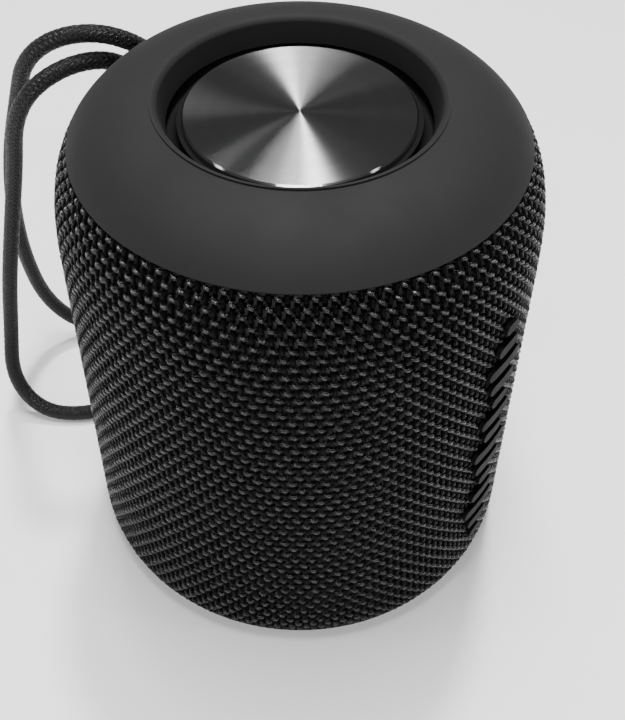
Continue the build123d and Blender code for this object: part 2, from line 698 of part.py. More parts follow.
with BuildPart() as cord_knots:
    with Locations(*[(x, y, KNOT_Z - 1.7) for x, y in HOLES]):
        Cylinder(2.6, 3.4)
    fillet(cord_knots.edges().group_by(Axis.Z)[0], 1.2)
cord_knots.part.label = "cord_knots"
export_step(cord_knots.part, "parts/cord_knots.step")


def bend_radii(points):
    """Largest tangent arc at each corner: 0.45 of the shorter run over tan of half the turn."""
    radii = []
    for before, here, after in zip(points, points[1:], points[2:]):
        arriving = Vector(*here) - Vector(*before)
        leaving = Vector(*after) - Vector(*here)
        turn = arriving.get_angle(leaving)
        shorter = min(arriving.length, leaving.length)
        radii.append(0.45 * shorter / tan(radians(turn / 2)))
    return radii


CORD_RADII = bend_radii(ROUTE)
print("cord bend radii:", [round(radius, 1) for radius in CORD_RADII])

with BuildPart() as lanyard_cord:
    with BuildLine() as cord_path:
        FilletPolyline(*ROUTE, radius=CORD_RADII)
    with BuildSketch(Plane(origin=ROUTE[0], z_dir=(0, 0, 1))):
        Circle(CORD_D / 2)
    sweep(path=cord_path.wire())
CORD_LENGTH = cord_path.wire().length
SECTION = 3.14159265 * CORD_D ** 2 / 4
print("cord length:", round(CORD_LENGTH, 1))
print("cord volume over section times length:", round(lanyard_cord.part.volume / (SECTION * CORD_LENGTH), 4))
lanyard_cord.part.label = "lanyard_cord"
export_step(lanyard_cord.part, "parts/lanyard_cord.step")
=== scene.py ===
"""Shower speaker: knitted sleeve, domed cap, spun radiator disc and braided lanyard.

Laid out as a Blender add-on: property groups hold the sizes and colours, one operator makes each
piece or group of like pieces, and a sidebar panel lists them. Lengths are in metres.
"""
import math

import bmesh
import bpy
import numpy as np
from mathutils import Matrix, Vector


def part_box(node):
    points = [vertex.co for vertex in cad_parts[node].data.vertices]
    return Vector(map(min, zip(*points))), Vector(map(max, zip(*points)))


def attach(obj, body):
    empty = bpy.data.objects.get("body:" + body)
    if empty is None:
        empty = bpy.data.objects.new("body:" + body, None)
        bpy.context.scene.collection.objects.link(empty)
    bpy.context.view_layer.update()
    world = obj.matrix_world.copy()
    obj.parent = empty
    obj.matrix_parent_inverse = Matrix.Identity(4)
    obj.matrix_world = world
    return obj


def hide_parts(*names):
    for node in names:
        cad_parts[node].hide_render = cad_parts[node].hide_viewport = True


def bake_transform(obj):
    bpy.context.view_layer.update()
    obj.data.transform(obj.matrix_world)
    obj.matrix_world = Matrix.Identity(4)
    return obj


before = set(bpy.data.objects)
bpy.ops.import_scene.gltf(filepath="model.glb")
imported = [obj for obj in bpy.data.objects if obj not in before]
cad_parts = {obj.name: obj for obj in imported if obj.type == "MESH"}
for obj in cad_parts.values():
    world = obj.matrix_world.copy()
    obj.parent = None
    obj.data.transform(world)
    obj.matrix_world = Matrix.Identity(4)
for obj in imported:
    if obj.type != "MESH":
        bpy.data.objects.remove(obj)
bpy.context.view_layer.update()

bl_info = {
    "name": "Shower Speaker",
    "version": (1, 0, 0),
    "blender": (4, 5, 0),
    "location": "3D View > Sidebar > Speaker",
    "description": "Builds the pieces, finishes and studio of a knit-covered shower speaker",
    "category": "Add Mesh",
}

MM = 0.001
MM_IN_METRE = 1000
RING_PARTS = 12        # a surround or spider is cut into this many parts
PART_SEGMENTS = 8      # steps round one part
ROLL_STEPS = 16        # steps over the half roll of a surround
SHARP_DEGREES = 35


def low(node):
    """Lowest corner of a CAD node."""
    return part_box(node)[0]


def high(node):
    """Highest corner of a CAD node."""
    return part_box(node)[1]


# ---------------------------------------------------------------- properties

def rotation(name, description, degrees):
    """An angle property, given in degrees and kept in radians."""
    return bpy.props.FloatProperty(
        name=name, description=description, default=math.radians(degrees), subtype="ANGLE")


def length(name, description, default):
    """A length property in metres."""
    return bpy.props.FloatProperty(
        name=name, description=description, default=default, unit="LENGTH", precision=5)


def count(name, description, default):
    """A whole-number property."""
    return bpy.props.IntProperty(name=name, description=description, default=default, min=1)


def colour(name, description, default):
    """A linear colour property."""
    return bpy.props.FloatVectorProperty(
        name=name, description=description, default=default, size=3, min=0, max=1, subtype="COLOR")


class SpeakerBody(bpy.types.PropertyGroup):
    """Outer shape of the body."""
    radius: length("Radius", "Straight side of the body", high("fabric_sleeve")[0])
    rim_z: length("Rim height", "Top of the cap's rim", high("top_cap")[2])
    shoulder_z: length("Shoulder start", "Where the side starts to curve in", 74.7 * MM)
    shoulder_r: length("Shoulder centre", "Radius that the shoulder curve ends at", 16.4 * MM)
    shoulder_power: bpy.props.FloatProperty(
        name="Shoulder power", description="Squareness of the shoulder curve", default=3.07, min=2)
    corner_z: length("Corner height", "Where the lower corner ends", 9.5 * MM)
    corner_w: length("Corner width", "How far the lower corner curves in", 4.5 * MM)
    rim_r: length("Rim radius", "Inner edge of the rim", 23.9 * MM)
    wall_r: length("Recess foot", "Radius at the foot of the recess wall", 22.8 * MM)
    wall_z: length("Recess foot height", "Height of the foot of the recess wall", low("radiator_disc")[2])


class SpeakerKnit(bpy.types.PropertyGroup):
    """Knitted sleeve."""
    stitches: count("Stitches round", "Floats in one row", 90)
    row_pitch: length("Row pitch", "Distance between rows", 1.8 * MM)
    skew: bpy.props.FloatProperty(
        name="Skew", description="Shift of each row against the last, where a full turn is one stitch",
        default=0.33, subtype="ANGLE")
    course_half_width: length("Course half width", "Half the width of a crosswise yarn", 0.48 * MM)
    course_half_depth: length("Course half depth", "Half the depth of a crosswise yarn", 0.40 * MM)
    wale_half_width: length("Wale half width", "Half the width of an upright yarn", 0.46 * MM)
    wale_half_depth: length("Wale half depth", "Half the depth of an upright yarn", 0.38 * MM)
    wave: length("Wave", "How far a yarn swings in and out", 0.48 * MM)
    tilt: length("Tilt", "How far a float's ends lie above and below its row", 0.20 * MM)
    yarn: colour("Yarn colour", "Black polyester yarn", (0.0012, 0.0012, 0.0013))


class SpeakerCord(bpy.types.PropertyGroup):
    """Braided lanyard."""
    diameter: length("Diameter", "Round braid", 3.6 * MM)
    pitch: length("Braid pitch", "Length of one turn of a strand", 9.0 * MM)
    strands: count("Strands each way", "Strands that turn one way", 8)
    half_width: length("Strand half width", "Half the width of a strand", 0.52 * MM)
    half_depth: length("Strand half depth", "Half the depth of a strand", 0.25 * MM)
    yarn: colour("Cord colour", "Black polyester braid", (0.0035, 0.0035, 0.0038))


class SpeakerFinish(bpy.types.PropertyGroup):
    """Colours of the hard and rubber pieces."""
    cap: colour("Cap", "Soft-touch dark grey", (0.0085, 0.0085, 0.0087))
    # Painted shade: the recess wall is coloured darker than the cap, for the shadow that fills the
    # recess.
    recess: colour("Recess", "Wall of the recess", (0.003, 0.003, 0.003))
    metal: colour("Spun metal", "Radiator disc", (0.62, 0.62, 0.625))
    rubber: colour("Rubber", "Panel, keys, flap and surrounds", (0.006, 0.006, 0.006))
    # Painted shade: the surrounds' rubber is darker than the other rubber, for the shadow in the gap
    # round the disc.
    surround: colour("Surround", "Rubber surrounds", (0.0025, 0.0025, 0.0025))
    badge: colour("Badge", "Raised level bars", (0.0012, 0.0012, 0.0012))
    ring: colour("Base ring", "Polished dark grey", (0.020, 0.020, 0.021))
    plastic: colour("Plastic", "Inner mouldings", (0.020, 0.020, 0.021))


class SpeakerStage(bpy.types.PropertyGroup):
    """Camera, floor and lights."""
    camera_distance: length("Camera distance", "From the axis, level", 164.33 * MM)
    camera_height: length("Camera height", "Above the floor", 216.51 * MM)
    camera_turn: rotation("Camera turn", "Round the body from the badge", -54.0)
    camera_pitch: rotation("Camera pitch", "Below level", 47.247)
    lens: bpy.props.FloatProperty(
        name="Lens", description="Focal length in millimetres on a 36 mm frame", default=58.1,
        unit="CAMERA")
    shift: bpy.props.FloatProperty(
        name="Shift", description="Sideways lens shift", default=0.01736)
    floor: colour("Floor", "Pale floor", (0.92, 0.92, 0.92))


GROUPS = {
    "speaker_body": SpeakerBody, "speaker_knit": SpeakerKnit, "speaker_cord": SpeakerCord,
    "speaker_finish": SpeakerFinish, "speaker_stage": SpeakerStage,
}


# ---------------------------------------------------------------- meshes

def side_radius(body, z, inset=0.0):
    """Radius of the outer shape at height z, moved inwards by inset."""
    if z < body.corner_z:
        drop = (body.corner_z - z) / (body.corner_z - inset)
        width = body.corner_w - inset
        return body.radius - body.corner_w + width * math.sqrt(max(0.0, 1 - drop ** 2))
    if z < body.shoulder_z:
        return body.radius - inset
    rise = (z - body.shoulder_z) / (body.rim_z - body.shoulder_z - inset)
    width, power = body.radius - body.shoulder_r - inset, body.shoulder_power
    return body.shoulder_r + width * max(0.0, 1 - rise ** power) ** (1 / power)


def link(mesh, name):
    """A new object for mesh, in the scene."""
    piece = bpy.data.objects.new(name, mesh)
    bpy.context.scene.collection.objects.link(piece)
    return piece


def shade(mesh):
    """Smooth shading with sharp edges kept."""
    mesh.polygons.foreach_set("use_smooth", [True] * len(mesh.polygons))
    mesh.set_sharp_from_angle(angle=math.radians(SHARP_DEGREES))


def quad_mesh(name, verts, quads, uvs=None):
    """A mesh from arrays of points and four-cornered faces, with uvs for each face corner."""
    mesh = bpy.data.meshes.new(name)
    mesh.vertices.add(len(verts))
    mesh.vertices.foreach_set("co", np.asarray(verts, np.float32).ravel())
    mesh.loops.add(quads.size)
    mesh.loops.foreach_set("vertex_index", quads.astype(np.int32).ravel())
    mesh.polygons.add(len(quads))
    mesh.polygons.foreach_set("loop_start", np.arange(0, quads.size, 4, dtype=np.int32))
    mesh.update(calc_edges=True)
    if uvs is not None:
        layer = mesh.uv_layers.new(name="yarn")
        layer.data.foreach_set("uv", np.asarray(uvs, np.float32).ravel())
    mesh.polygons.foreach_set("use_smooth", [True] * len(quads))
    return mesh


def faced(axis, x, y, z):
    """Moves coordinates made about +Z to another axis: X, -X or Z itself."""
    if axis == "X":
        return z, x, y
    if axis == "-X":
        return -z, y, x
    return x, y, z


def lathe(name, profile, segments=256, centre=(0, 0, 0), axis="Z", start=0.0, sweep=math.tau):
    """Turns a closed outline of (radius, height) points about an axis through centre."""
    outline = np.array(profile, float)
    whole = sweep >= math.tau - 1e-6
    rings = segments if whole else segments + 1
    angles = start + sweep * np.arange(rings) / segments
    points = len(outline)
    r = outline[:, 0][None, :]
    h = outline[:, 1][None, :]
    a = angles[:, None]
    x, y, z = faced(axis, r * np.cos(a), r * np.sin(a), h + 0 * a)
    verts = np.stack([x, y, z], -1).reshape(-1, 3) + np.array(centre)
    i = np.arange(segments)[:, None]
    j = np.arange(points)[None, :]
    after = (i + 1) % rings
    k = (j + 1) % points
    quads = np.stack([i * points + j, after * points + j, after * points + k, i * points + k], -1)
    mesh = quad_mesh(name, verts, quads.reshape(-1, 4))
    edit = bmesh.new()
    edit.from_mesh(mesh)
    if not whole:
        for ring in (0, rings - 1):
            edit.verts.ensure_lookup_table()
            edit.faces.new([edit.verts[ring * points + p] for p in range(points)])
    bmesh.ops.remove_doubles(edit, verts=edit.verts, dist=1e-7)
    bmesh.ops.recalc_face_normals(edit, faces=edit.faces)
    edit.to_mesh(mesh)
    edit.free()
    shade(mesh)
    return link(mesh, name)


def flexing_ring(name, profile, node, material, axis="Z", centre=(0, 0, 0)):
    """A soft ring cut into equal parts that take the material, in place of the CAD node."""
    sweep = math.tau / RING_PARTS
    for part in range(RING_PARTS):
        piece = lathe(f"{name}_{part + 1:02d}", profile, PART_SEGMENTS, centre, axis, part * sweep, sweep)
        piece.data.materials.append(material)
        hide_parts(node)
        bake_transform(piece)


def roll_profile(inner, roll_in, roll_out, outer, top, thickness, way):
    """Outline of a surround: two lips and a half roll, way 1 up or -1 down, in metres."""
    centre = (roll_in + roll_out) / 2
    small = (roll_out - roll_in) / 2 - thickness / 2
    large = small + thickness
    near = top if way < 0 else top - thickness
    far = near + way * thickness

    def half_roll(size, side):
        """Points over the roll, from one side of its centre to the other."""
        turns = [math.pi * step / ROLL_STEPS for step in range(ROLL_STEPS + 1)]
        return [(centre + side * size * math.cos(t), far + way * size * math.sin(t)) for t in turns]

    return [(centre - small, near), (inner, near), (inner, far), *half_roll(large, -1),
            (outer, far), (outer, near), (centre + small, near), *half_roll(small, 1)]


def sweep_strands(name, points, across, out, half_width, half_depth, sides=6, closed=False, keep=None):
    """Sweeps an oval along strands: points, across and out are arrays (strand, step, 3).

    The uvs run along a strand in millimetres and once round it. Where keep is false, a step is left out.
    """
    strands, steps, _ = points.shape
    turn = math.tau * np.arange(sides) / sides
    oval = (np.cos(turn)[None, None, :, None] * half_width * across[:, :, None, :]
            + np.sin(turn)[None, None, :, None] * half_depth * out[:, :, None, :])
    verts = (points[:, :, None, :] + oval).reshape(-1, 3)
    spans = steps if closed else steps - 1
    m = np.arange(strands)[:, None, None]
    i = np.arange(spans)[None, :, None]
    j = np.arange(sides)[None, None, :]
    after = (i + 1) % steps
    k = (j + 1) % sides

    def at(step, side):
        return (m * steps + step) * sides + side

    quads = np.stack(np.broadcast_arrays(at(i, j), at(after, j), at(after, k), at(i, k)), -1)
    gap = np.linalg.norm(np.diff(points, axis=1), axis=2).mean()
    u0 = np.broadcast_to(i * gap * MM_IN_METRE, quads.shape[:3]).astype(float)
    v0 = np.broadcast_to(j / sides, quads.shape[:3])
    u1, v1 = u0 + gap * MM_IN_METRE, v0 + 1 / sides
    uvs = np.stack([u0, v0, u1, v0, u1, v1, u0, v1], -1)
    if keep is not None:
        mask = np.broadcast_to(keep[:, :spans, None], quads.shape[:3])
        quads, uvs = quads[mask], uvs[mask]
    quads, uvs = quads.reshape(-1, 4), uvs.reshape(-1, 8)
    used, flat = np.unique(quads, return_inverse=True)
    return quad_mesh(name, verts[used], flat.reshape(-1, 4), uvs)


# ---------------------------------------------------------------- materials

class Finish:
    """A material and short ways to add nodes to it."""

    def __init__(self, name, base, roughness, metallic=0.0, **sockets):
        self.material = bpy.data.materials.new(name)
        self.material.use_nodes = True
        self.tree = self.material.node_tree
        self.shader = self.tree.nodes["Principled BSDF"]
        self.set("Base Color", (*base, 1))
        self.set("Roughness", roughness)
        self.set("Metallic", metallic)
        for socket, value in sockets.items():
            self.set(socket.replace("_", " ").title().replace("Ior", "IOR"), value)
        self.coords = self.tree.nodes.new("ShaderNodeTexCoord")

    def set(self, socket, value):
        """Sets a socket of the shader."""
        self.shader.inputs[socket].default_value = value

    def node(self, kind, inputs=None, **settings):
        """Adds a node, with its settings and input values or links."""
        made = self.tree.nodes.new(kind)
        for key, value in settings.items():
            setattr(made, key, value)
        for key, value in (inputs or {}).items():
            if hasattr(value, "is_linked"):
                self.tree.links.new(value, made.inputs[key])
            else:
                made.inputs[key].default_value = value
        return made

    def math(self, operation, first, second):
        """Sum, product or other combination of two values."""
        return self.node("ShaderNodeMath", {0: first, 1: second}, operation=operation).outputs["Value"]

    def link(self, out, socket):
        """Links an output to a socket of the shader."""
        self.tree.links.new(out, self.shader.inputs[socket])

    def noise(self, scale, detail, roughness=0.5, where=None):
        """Noise in metres of the object: scale is features in a metre."""
        made = self.node("ShaderNodeTexNoise", {
            "Vector": where or self.coords.outputs["Object"],
            "Scale": scale, "Detail": detail, "Roughness": roughness})
        return made.outputs["Fac"]

    def spread(self, fac, lowest, highest):
        """Maps a value from 0..1 to lowest..highest."""
        made = self.node("ShaderNodeMapRange", {"Value": fac, "To Min": lowest, "To Max": highest})
        return made.outputs["Result"]

    def tint(self, fac, dark, light):
        """Mixes two colours by a value."""
        made = self.node("ShaderNodeMix", data_type="RGBA")
        self.tree.links.new(fac, made.inputs["Factor"])
        made.inputs["A"].default_value = (*dark, 1)
        made.inputs["B"].default_value = (*light, 1)
        return made.outputs["Result"]

    def bump(self, height, distance, strength=1.0):
        """Bumps the surface by a height."""
        made = self.node("ShaderNodeBump", {"Height": height, "Distance": distance, "Strength": strength})
        self.link(made.outputs["Normal"], "Normal")


def scaled(rgb, factor):
    """A colour made lighter or darker."""
    return tuple(min(1.0, c * factor) for c in rgb)


def soft_touch(name, base):
    """Soft-touch lacquer on moulded plastic: fine grain, patchy sheen."""
    finish = Finish(name, base, 0.75, specular_ior_level=0.22)
    grain = finish.noise(5200, 3)
    cloud = finish.noise(28, 5)
    patchy = finish.spread(cloud, 0.2, 0.8)
    finish.link(finish.tint(patchy, scaled(base, 0.86), scaled(base, 1.16)), "Base Color")
    finish.link(finish.spread(finish.noise(90, 6), 0.66, 0.84), "Roughness")
    finish.bump(grain, 0.00003, 0.6)
    return finish.material


def moulded(name, base, roughness=0.5, grain=2600, gloss=0.35):
    """Moulded plastic or rubber with a fine spark-eroded grain."""
    finish = Finish(name, base, roughness, specular_ior_level=gloss)
    finish.link(finish.tint(finish.noise(160, 5), scaled(base, 0.75), scaled(base, 1.3)), "Base Color")
    finish.link(finish.spread(finish.noise(240, 5), roughness - 0.1, roughness + 0.12), "Roughness")
    finish.bump(finish.noise(grain, 3), 0.00004, 0.6)
    return finish.material


def polished(name, base):
    """Polished plastic with faint handling marks."""
    finish = Finish(name, base, 0.22, coat_weight=0.4, coat_roughness=0.12)
    finish.link(finish.spread(finish.noise(300, 6), 0.16, 0.34), "Roughness")
    finish.link(finish.tint(finish.noise(60, 3), scaled(base, 0.8), scaled(base, 1.25)), "Base Color")
    finish.bump(finish.noise(900, 2), 0.00001, 0.5)
    return finish.material


def spun_metal(name, base):
    """Metal turned on a lathe: rings of fine grooves and a sheen that runs across them."""
    finish = Finish(name, base, 0.18, 1.0, anisotropic=1.0, anisotropic_rotation=0.25)
    tangent = finish.node("ShaderNodeTangent", direction_type="RADIAL", axis="Z")
    finish.link(tangent.outputs["Tangent"], "Tangent")
    split = finish.node("ShaderNodeSeparateXYZ", {"Vector": finish.coords.outputs["Object"]})
    flat = finish.node("ShaderNodeCombineXYZ", {"X": split.outputs["X"], "Y": split.outputs["Y"]})
    far = finish.node("ShaderNodeVectorMath", {0: flat.outputs["Vector"]}, operation="LENGTH")
    ring = finish.node("ShaderNodeCombineXYZ", {"X": far.outputs["Value"]})
    grooves = finish.noise(9000, 2, 0.6, ring.outputs["Vector"])
    bands = finish.noise(700, 4, 0.7, ring.outputs["Vector"])
    finish.link(finish.spread(bands, 0.16, 0.20), "Roughness")
    finish.link(finish.tint(bands, scaled(base, 0.86), scaled(base, 1.1)), "Base Color")
    finish.bump(grooves, 0.000004, 0.5)
    return finish.material


def yarn(name, base, filaments, twist, roughness, gloss):
    """Multi-filament yarn: fine twisted filaments along the strand and a satin gloss."""
    finish = Finish(name, base, roughness, specular_ior_level=gloss)
    place = finish.node("ShaderNodeUVMap", uv_map="yarn")
    split = finish.node("ShaderNodeSeparateXYZ", {"Vector": place.outputs["UV"]})
    lay = finish.math("MULTIPLY", split.outputs["X"], twist)
    around = finish.math("MULTIPLY", split.outputs["Y"], float(filaments))
    phase = finish.math("ADD", lay, around)
    wave = finish.math("PINGPONG", phase, 0.5)
    height = finish.math("ADD", wave, finish.noise(2600, 5))
    finish.link(finish.tint(finish.noise(420, 4), scaled(base, 0.6), scaled(base, 1.4)), "Base Color")
    finish.link(finish.spread(finish.noise(900, 3), roughness - 0.08, roughness + 0.2), "Roughness")
    finish.bump(height, 0.00020)
    return finish.material


def plain_metal(name, base, roughness=0.35):
    """Plated steel or copper with a fine grain."""
    finish = Finish(name, base, roughness, 1.0)
    finish.link(finish.spread(finish.noise(700, 6), roughness - 0.1, roughness + 0.15), "Roughness")
    finish.link(finish.tint(finish.noise(130, 4), scaled(base, 0.8), scaled(base, 1.15)), "Base Color")
    finish.bump(finish.noise(3000, 3), 0.00001, 0.5)
    return finish.material


def cloth_paper(name, base):
    """Coated paper or varnished cloth: fibres and a dull surface."""
    finish = Finish(name, base, 0.7)
    finish.link(finish.tint(finish.noise(1500, 6), scaled(base, 0.7), scaled(base, 1.35)), "Base Color")
    finish.bump(finish.noise(2200, 6), 0.00005, 0.8)
    return finish.material


def lamp_plastic(name):
    """Milky light pipe."""
    finish = Finish(name, (0.75, 0.82, 0.85), 0.3, transmission_weight=0.3)
    finish.link(finish.spread(finish.noise(600, 3), 0.2, 0.4), "Roughness")
    finish.bump(finish.noise(1500, 2), 0.00001, 0.4)
    return finish.material


def wear(piece, material, body="housing"):
    """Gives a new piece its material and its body."""
    piece.data.materials.clear()
    piece.data.materials.append(material)
    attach(piece, body)
    return piece


def paint(node, material):
    """Gives a CAD node's object its material."""
    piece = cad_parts[node]
    for place in piece.material_slots:
        place.material = material
    if not piece.material_slots:
        piece.data.materials.append(material)


# ---------------------------------------------------------------- operators

class SPEAKER_OT_cap(bpy.types.Operator):
    """Domed soft-touch cap with the recess for the radiator disc"""
    bl_idname = "speaker.cap"
    bl_label = "Top cap"

    BROW_Z = 104.05 * MM      # where the shoulder curve ends and the brow begins
    CROWN_WIDTH = 1.35 * MM   # from the crown of the rim in to its edge
    PAINTED_SHADE_TOP = 103.4 * MM   # the painted shade on the recess wall stops here
    HOLLOW = [(28.2, 101.2), (33.2, 99.4), (35.6, 96.6)]   # under the dome: radius, height in mm
    SKIRT_R = 37.3 * MM
    SIDE_STEPS, BROW_STEPS, LIP_STEPS, ROUND_STEPS = 39, 5, 8, 320

    def execute(self, context):
        body, finish = context.scene.speaker_body, context.scene.speaker_finish
        cap = lathe("cap_shell", self.outline(body), self.ROUND_STEPS)
        wear(cap, soft_touch("soft_touch", finish.cap))
        # Second slot: painted shade on the faces inside the rim, the soft-touch finish in the darker
        # recess colour.
        cap.data.materials.append(soft_touch("recess_painted_shade", finish.recess))
        for face in cap.data.polygons:
            middle = face.center
            if math.hypot(middle.x, middle.y) < body.rim_r + 0.1 * MM and middle.z < self.PAINTED_SHADE_TOP:
                face.material_index = 1
        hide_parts("top_cap")
        return {"FINISHED"}

    def outline(self, body):
        """Closed outline: shoulder, brow, rounded rim, recess wall, hollow and skirt."""
        edge, skirt = high("fabric_sleeve")[2], low("top_cap")[2]
        points = []
        for step in range(self.SIDE_STEPS + 1):
            z = edge + (self.BROW_Z - edge) * (1 - (1 - step / self.SIDE_STEPS) ** 1.6)
            points.append((side_radius(body, z), z))
        last = points[-1]
        crown = (body.rim_r + self.CROWN_WIDTH, body.rim_z)
        for step in range(1, self.BROW_STEPS + 1):
            t = step / self.BROW_STEPS
            rise = 1 - (1 - t) ** 2
            points.append((last[0] + (crown[0] - last[0]) * t, last[1] + (crown[1] - last[1]) * rise))
        lip_round = crown[0] - body.rim_r
        for step in range(1, self.LIP_STEPS + 1):
            turn = math.pi / 2 * step / self.LIP_STEPS
            inward, drop = lip_round * math.sin(turn), lip_round * (1 - math.cos(turn))
            points.append((crown[0] - inward, crown[1] - drop))
        hollow = [(radius * MM, z * MM) for radius, z in self.HOLLOW]
        points += [(body.wall_r, body.wall_z), (hollow[0][0], body.wall_z), *hollow]
        return points + [(hollow[-1][0], skirt), (self.SKIRT_R, skirt), (self.SKIRT_R, edge)]


class SPEAKER_OT_disc(bpy.types.Operator):
    """Spun-metal radiator disc, and the same metal on the lower radiator plate"""
    bl_idname = "speaker.disc"
    bl_label = "Radiator disc"

    def execute(self, context):
        radius = high("radiator_disc")[0]
        bottom, top = low("radiator_disc")[2], high("radiator_disc")[2]
        bevel = 0.28 * MM
        outline = [(0.0, bottom), (radius, bottom), (radius, top - bevel), (radius - bevel, top)]
        outline += [(radius * share, top) for share in (0.75, 0.5, 0.25)]
        outline += [(0.0, top)]
        metal = spun_metal("spun_metal", context.scene.speaker_finish.metal)
        disc = lathe("spun_disc", outline)
        wear(disc, metal, body="top_radiator")
        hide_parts("radiator_disc")
        paint("lower_radiator_plate", metal)
        return {"FINISHED"}


class SPEAKER_OT_knit(bpy.types.Operator):
    """Knitted sleeve: crosswise courses and upright wales of yarn over a dark backing"""
    bl_idname = "speaker.knit"
    bl_label = "Knitted sleeve"

    BANDS = 3                 # the courses and the wales are each cut into this many pieces
    SQUARENESS = 1.7          # how long a yarn stays in or out before it crosses
    STITCH_STEPS, ROW_STEPS = 8, 5
    COURSE_UNEVEN, WALE_UNEVEN = 0.035 * MM, 0.03 * MM
    EDGE = 0.25 * MM          # yarn keeps this far inside the sleeve's ends
    SLOPE_REACH = 0.2 * MM    # the side's slope is read this far each way
    SIDE_POINTS, BACKING_ROUND, BACKING_ROWS = 1200, 360, 72
    BACKING_IN = 1.15         # how far in the felt lies, in depths of the yarn
    BACKING_THICKNESS = 0.5 * MM

    def execute(self, context):
        body, knit = context.scene.speaker_body, context.scene.speaker_knit
        bottom, top = low("fabric_sleeve")[2], high("fabric_sleeve")[2]
        heights = np.linspace(bottom, top, self.SIDE_POINTS)
        radii = np.array([side_radius(body, z) for z in heights])
        travel = np.concatenate([[0], np.cumsum(np.hypot(np.diff(heights), np.diff(radii)))])
        whole = travel[-1]
        rows = int(whole / knit.row_pitch)
        pitch = whole / rows
        depth = knit.wave + knit.course_half_depth

        def place(s):
            """Height, radius and outward slope at a distance up the side."""
            z, r = np.interp(s, travel, heights), np.interp(s, travel, radii)
            above, below = s + self.SLOPE_REACH, s - self.SLOPE_REACH
            dz = np.interp(above, travel, heights) - np.interp(below, travel, heights)
            dr = np.interp(above, travel, radii) - np.interp(below, travel, radii)
            size = np.hypot(dz, dr)
            return z, r, dz / size, dr / size

        def lay(s, angle, inward, tilt=0.0):
            """Points and directions of yarn at distances s, angles and depth below the surface."""
            z, r, up_z, up_r = place(np.clip(s + tilt, self.EDGE, whole - self.EDGE))
            radial = r + up_z * -inward
            height = z + up_r * inward
            c, n = np.cos(angle), np.sin(angle)
            points = np.stack([radial * c, radial * n, height], -1)
            out = np.stack([up_z * c, up_z * n, -up_r], -1)
            along = np.stack([up_r * c, up_r * n, up_z], -1)
            level = np.stack([-n, c, 0 * c], -1)
            return points, out, along, level

        rng = np.random.default_rng(7)
        bright = yarn("course_yarn", knit.yarn, filaments=7, twist=0.5, roughness=0.20, gloss=0.45)
        # Painted shade: the upright wales take the yarn colour darkened to 0.7, so they read as shaded
        # beside the courses, which keep the yarn's own colour.
        dull = yarn("wale_yarn_painted_shade", scaled(knit.yarn, 0.7), filaments=7, twist=0.5, roughness=0.30,
                    gloss=0.05)
        steps = knit.stitches * self.STITCH_STEPS
        angle = math.tau * np.arange(steps) / steps
        row = np.arange(rows)[:, None]
        phase = knit.stitches * angle[None, :] + (math.pi + knit.skew) * row
        inward = depth - knit.wave * self.swing(phase) + rng.normal(0, self.COURSE_UNEVEN, phase.shape)
        s = (row + 0.5) * pitch + 0 * phase
        points, out, along, _ = lay(s, angle[None, :] + 0 * phase, inward, -knit.tilt * np.sin(phase))
        self.bands("knit_courses", points, along, out, knit.course_half_width, knit.course_half_depth,
                   True, bright)
        wales = knit.stitches * 2
        row_at = (np.arange(rows * self.ROW_STEPS + 1) / self.ROW_STEPS)[None, :]
        column = np.arange(wales)[:, None]
        turn = (math.pi * column - knit.skew * (row_at - 0.5)) / knit.stitches
        swing = -self.swing(math.pi * (column + row_at - 0.5))
        inward = depth - knit.wave * swing + rng.normal(0, self.WALE_UNEVEN, swing.shape)
        points, out, _, level = lay(row_at * pitch + 0 * turn, turn, inward)
        self.bands("knit_wales", points, level, out, knit.wale_half_width, knit.wale_half_depth,
                   False, dull)
        self.backing(place, whole, depth)
        return {"FINISHED"}

    def swing(self, phase):
        """A flattened wave from -1 to 1."""
        return np.tanh(self.SQUARENESS * np.cos(phase)) / math.tanh(self.SQUARENESS)

    def behind_panel(self, points, side, ends):
        """True where points lie behind the control panel, inside its edges by side and ends."""
        box_low, box_high = low("control_panel"), high("control_panel")
        return ((np.abs(points[..., 0]) < box_high[0] - side) & (points[..., 1] > 0)
                & (points[..., 2] > box_low[2] + ends) & (points[..., 2] < box_high[2] - ends))

    def bands(self, name, points, across, out, half_width, half_depth, closed, material):
        """Sweeps the yarns, cut into a few pieces, and leaves out what the panel hides."""
        keep = ~self.behind_panel(points, 0.5 * MM, 0.5 * MM)
        total = len(points)
        for band in range(self.BANDS):
            part = slice(band * total // self.BANDS, (band + 1) * total // self.BANDS)
            mesh = sweep_strands(f"{name}_{band + 1}", points[part], across[part], out[part],
                                 half_width, half_depth, 6, closed, keep[part])
            piece = wear(link(mesh, f"{name}_{band + 1}"), material)
            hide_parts("fabric_sleeve")

    def backing(self, place, whole, depth):
        """Dark felt under the yarn, open behind the control panel."""
        around, rows = self.BACKING_ROUND, self.BACKING_ROWS
        distance = np.linspace(0, whole, rows)
        z, r, up_z, up_r = place(distance)
        r, z = r - up_z * depth * self.BACKING_IN, z + up_r * depth * self.BACKING_IN
        z[0], z[-1] = z[1] - 0.9 * MM, high("fabric_sleeve")[2] - 0.05 * MM
        angle = math.tau * np.arange(around) / around
        x, y = r[:, None] * np.cos(angle), r[:, None] * np.sin(angle)
        verts = np.stack([x, y, z[:, None] + 0 * x], -1).reshape(-1, 3)
        i, j = np.arange(rows - 1)[:, None], np.arange(around)[None, :]
        k = (j + 1) % around
        here, above = i * around, (i + 1) * around
        quads = np.stack([here + j, here + k, above + k, above + j], -1).reshape(-1, 4)
        gone = self.behind_panel(verts[quads].mean(1), 0.6 * MM, 0.8 * MM)
        used, flat = np.unique(quads[~gone], return_inverse=True)
        mesh = quad_mesh("knit_backing", verts[used], flat.reshape(-1, 4))
        piece = link(mesh, "knit_backing")
        solid = piece.modifiers.new("thickness", "SOLIDIFY")
        solid.thickness = self.BACKING_THICKNESS
        solid.offset = -1
        wear(piece, cloth_paper("felt_backing", (0.004, 0.004, 0.004)))
        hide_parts("fabric_sleeve")


